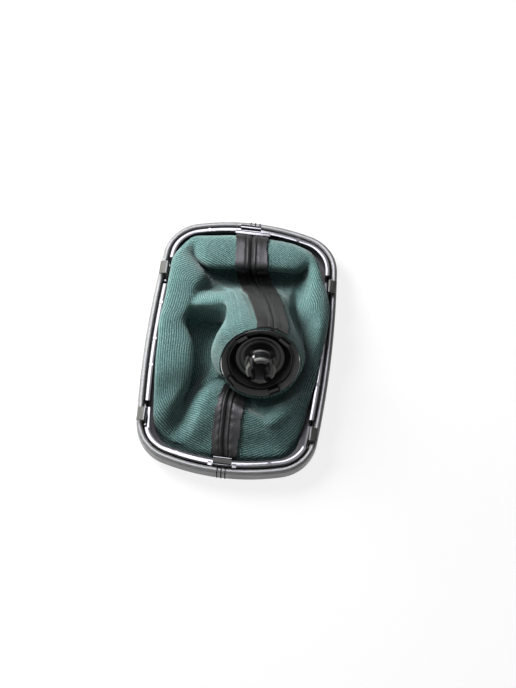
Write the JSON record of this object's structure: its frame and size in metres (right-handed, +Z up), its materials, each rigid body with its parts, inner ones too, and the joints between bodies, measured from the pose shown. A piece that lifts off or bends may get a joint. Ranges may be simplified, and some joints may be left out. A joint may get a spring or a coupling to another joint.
{
  "type": "gear lever gaiter",
  "caption": "Gear lever gaiter: a soft stitched sheet on an oblong plastic frame with a clip ring and a slotted lever collar, shown underside up.",
  "frame": {"origin": "on the surface it lies on, under the middle of the frame", "axes": "+Z up, away from the frame's visible face, +Y towards the frame's front end, +X to the right seen from above"},
  "size_m": [0.11, 0.162, 0.0502],
  "materials": {
    "carrier_plastic": "moulded, matt",
    "gloss_plastic": "moulded, glossy black",
    "collar_plastic": "moulded, satin black",
    "textile_backing": "teal ribbed twill backing",
    "black_leather": "fine grain, soft sheen",
    "black_thread": "spun sewing thread"
  },
  "bodies": {
    "root": {"frame_carrier": "carrier_plastic", "clamp_ring": "gloss_plastic", "gaiter_panel_right": "textile_backing", "gaiter_panel_left": "textile_backing", "collar_ring": "collar_plastic", "collar_cup": "collar_plastic", "lever_sleeve": "collar_plastic"}
  },
  "joints": []
}
